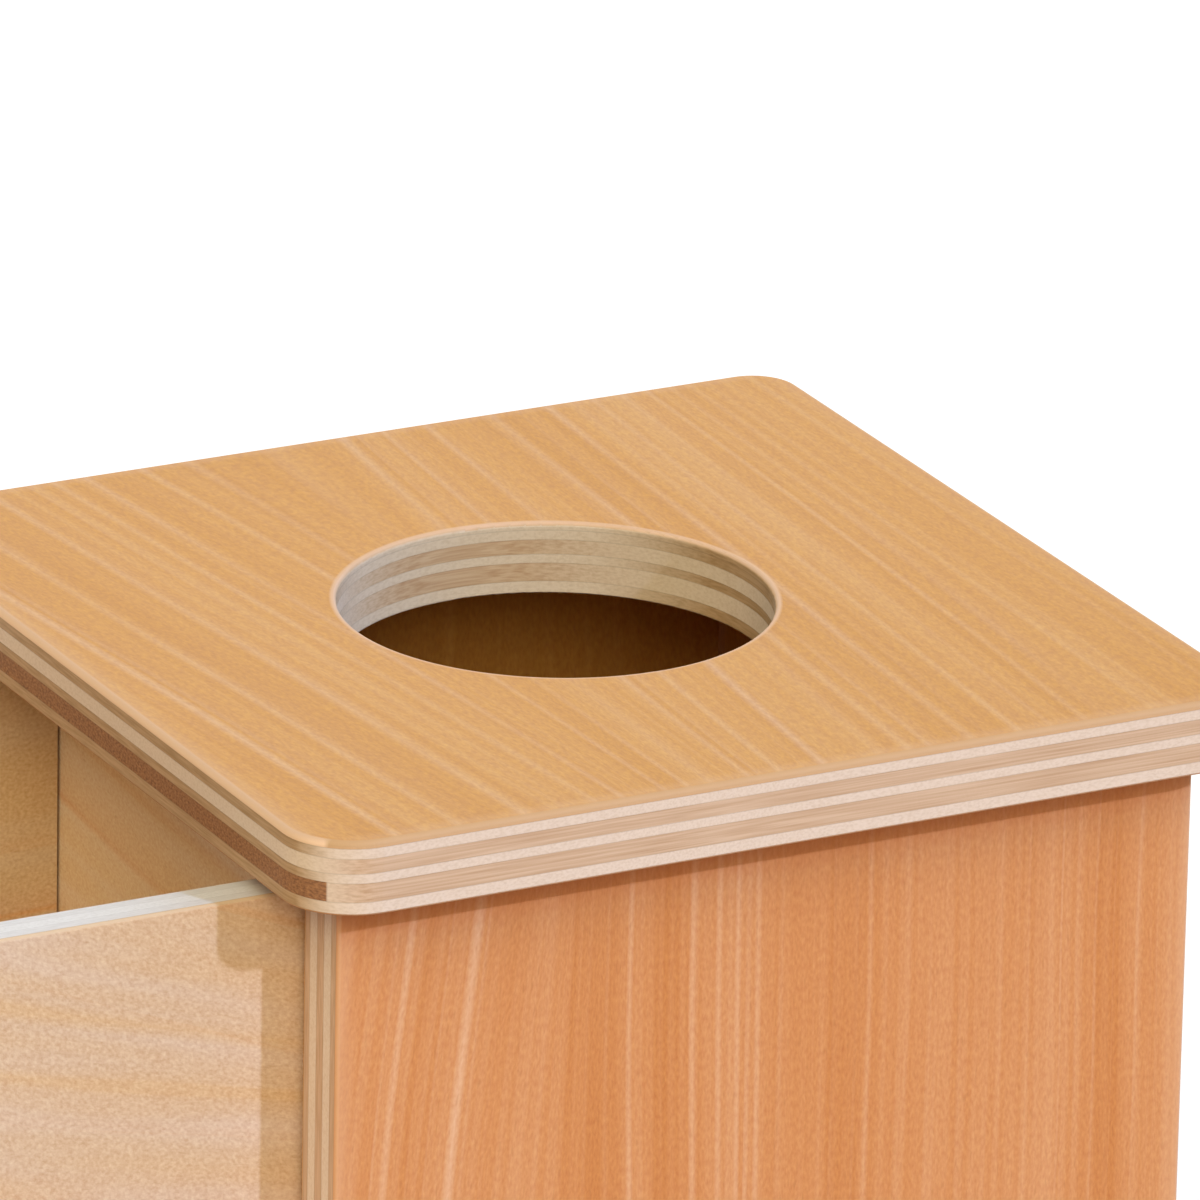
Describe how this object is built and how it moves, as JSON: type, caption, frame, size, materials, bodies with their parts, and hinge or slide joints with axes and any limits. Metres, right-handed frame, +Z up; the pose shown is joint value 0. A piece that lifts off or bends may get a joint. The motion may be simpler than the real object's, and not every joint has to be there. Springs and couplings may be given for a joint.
{
  "type": "object permanence box",
  "caption": "Square plywood box with a round ball hole in its overhanging top plate and a full-height drawer that pulls out of one end, for posting a ball and finding it again.",
  "frame": {"origin": "middle of the walls' footprint, on the surface that the box stands on", "axes": "+Z up out of the ball hole, -X the way the drawer pulls out, -Y out of the front panel"},
  "size_m": [0.2465, 0.136, 0.13],
  "materials": {
    "plate_plywood": "sanded plywood, clear satin oil",
    "wall_plywood": "sanded plywood with reddish beech faces, clear satin oil",
    "drawer_board": "sanded pale board, unvarnished edges",
    "turned_beech": "turned and sanded, clear satin oil",
    "steel": "bright steel"
  },
  "bodies": {
    "box": {"top_plate": "plate_plywood", "front_panel": "wall_plywood", "back_panel": "wall_plywood", "end_panel": "wall_plywood", "floor_panel": "wall_plywood", "top_dowels": "turned_beech", "end_dowels": "turned_beech", "floor_dowels": "turned_beech"},
    "drawer": {"drawer_front": "wall_plywood", "drawer_near_side": "drawer_board", "drawer_far_side": "drawer_board", "drawer_back": "drawer_board", "drawer_bottom": "drawer_board", "drawer_brads": "steel", "drawer_knob": "turned_beech", "knob_screw": "steel"}
  },
  "joints": [
    {"name": "drawer_slide", "type": "slide", "parent": "box", "child": "drawer", "axis": [-1, 0, 0], "range_m": [-0.095, 0.03]}
  ]
}
